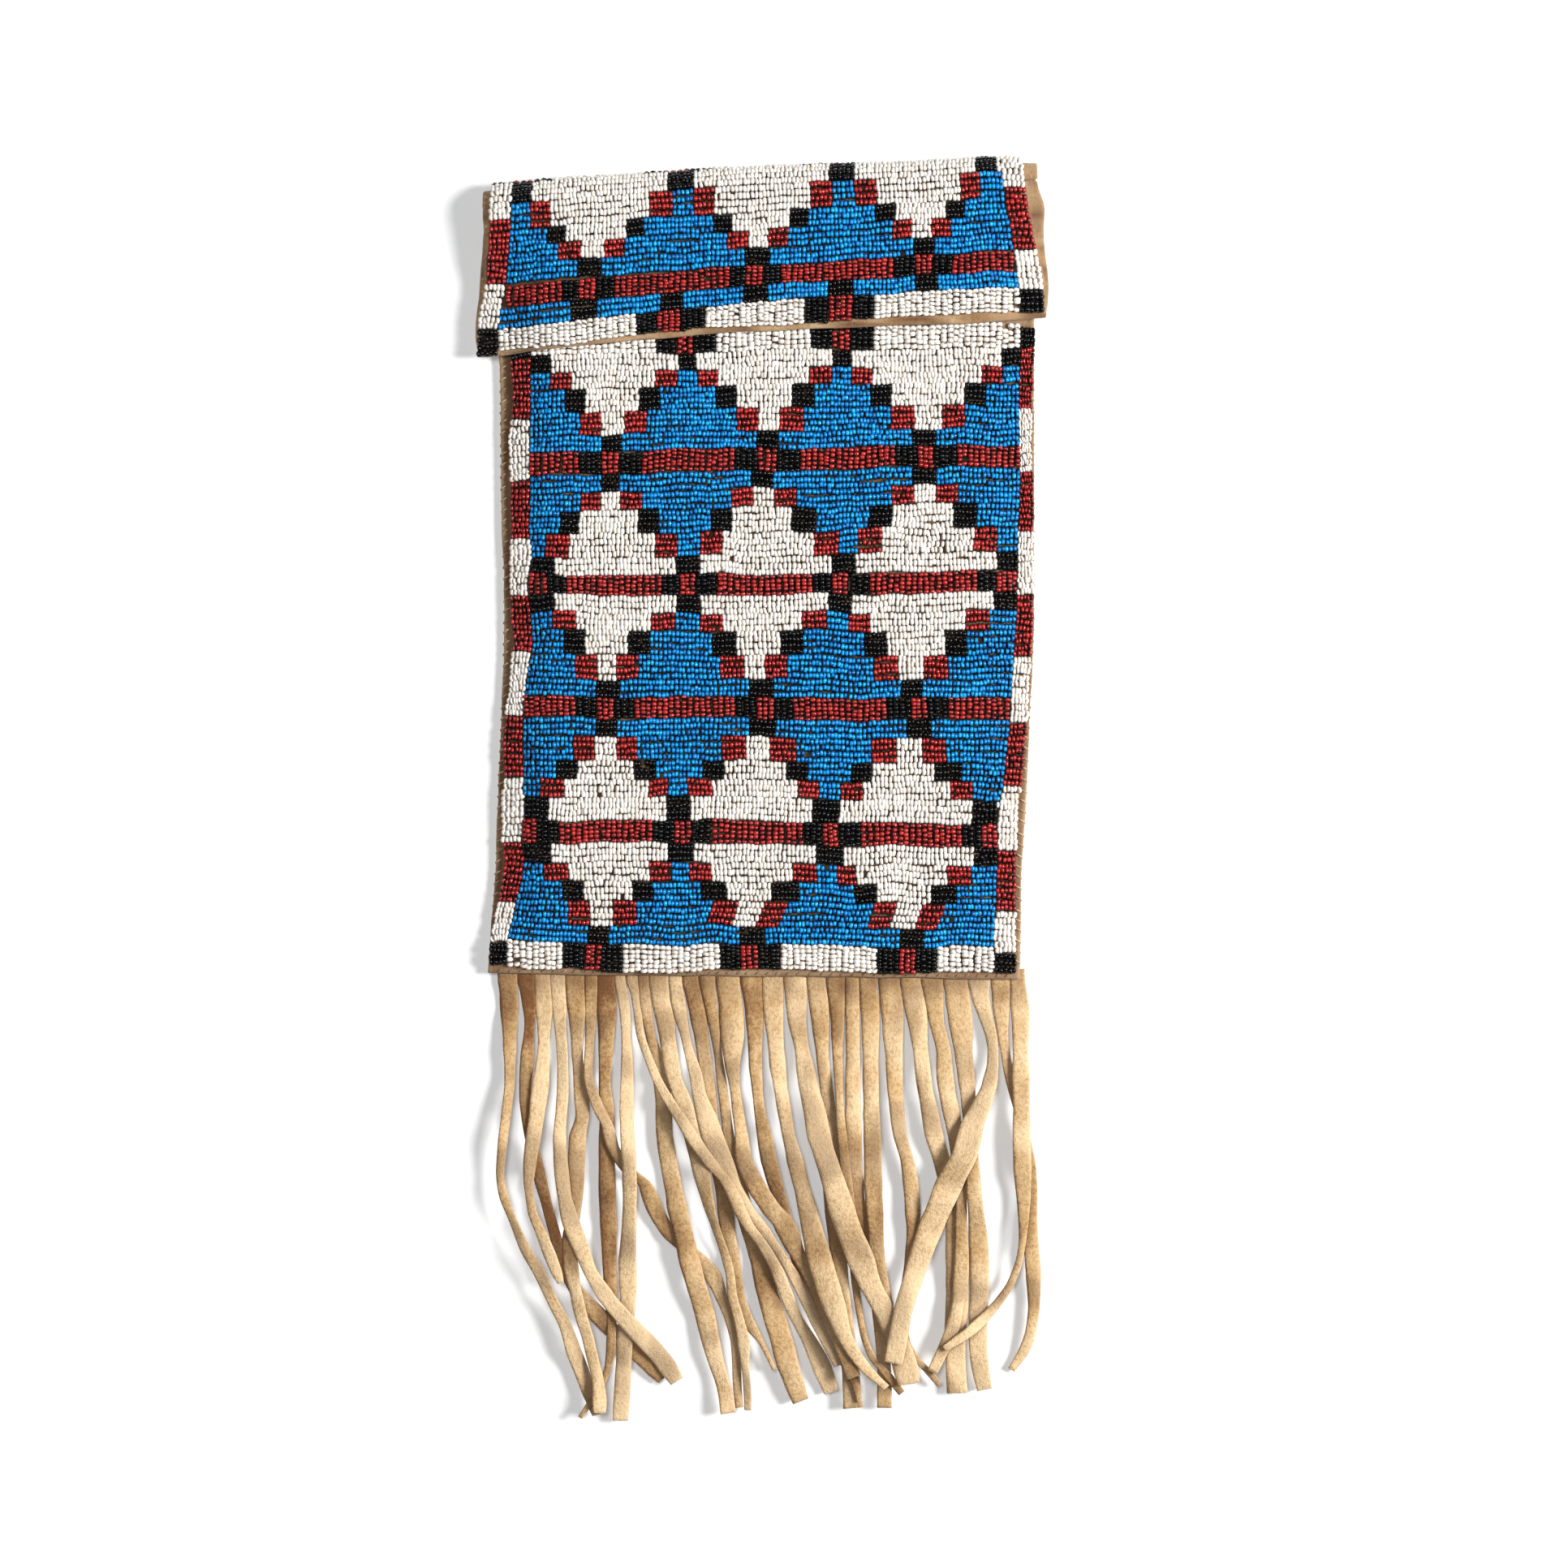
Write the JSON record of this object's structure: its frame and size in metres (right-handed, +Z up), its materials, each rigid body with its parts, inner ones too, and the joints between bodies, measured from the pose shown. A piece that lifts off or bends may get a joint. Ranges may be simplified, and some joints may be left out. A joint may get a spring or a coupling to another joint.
{
  "type": "beaded hide bag",
  "caption": "Flat hide pouch with a fold-over flap, sewn seed-bead bands over the front and the flap, and a cut thong fringe along the bottom.",
  "frame": {"origin": "centre of the overall footprint on the surface the bag lies on", "axes": "+Y towards the fold at the top, +Z up away from the beaded front, +X to the right seen from the front"},
  "size_m": [0.194, 0.4298, 0.0133],
  "materials": {
    "hide": "smoked tanned hide, napped, darker at the edges",
    "thongs": "cut tanned hide, smooth on one side and napped on the other",
    "sinew": "dull fibrous sewing thread",
    "lane_beads": "opaque glossy seed beads, red with black bars",
    "white_field_beads": "opaque chalky seed beads, white with red, black and blue figures",
    "blue_field_beads": "opaque glossy seed beads, blue with red, black and white figures",
    "border_beads": "opaque seed beads, blocks of white, red and black"
  },
  "bodies": {
    "bag": {"back_hide": "hide", "front_hide": "hide", "fringe": "thongs", "seam_left": "sinew", "seam_right": "sinew", "seam_bottom": "sinew", "front_top_lane": "border_beads", "front_bottom_lane": "border_beads", "front_left_lane": "border_beads", "front_right_lane": "border_beads", "front_red_lane_1": "lane_beads", "front_red_lane_2": "lane_beads", "front_red_lane_3": "lane_beads", "front_red_lane_4": "lane_beads", "front_field_1": "blue_field_beads", "front_field_2": "white_field_beads", "front_field_3": "blue_field_beads", "front_field_4": "white_field_beads", "front_field_5": "blue_field_beads"},
    "flap": {"flap_hide": "hide", "flap_top_lane": "border_beads", "flap_bottom_lane": "border_beads", "flap_left_lane": "border_beads", "flap_right_lane": "border_beads", "flap_red_lane": "lane_beads", "flap_field_upper": "blue_field_beads", "flap_field_lower": "blue_field_beads"}
  },
  "joints": [
    {"name": "flap_hinge", "type": "hinge", "parent": "bag", "child": "flap", "pos_m": [-0.00065, 0.21031, 0.00665], "axis": [-0.9985, -0.0543, 0], "range_deg": [0, 178]}
  ]
}
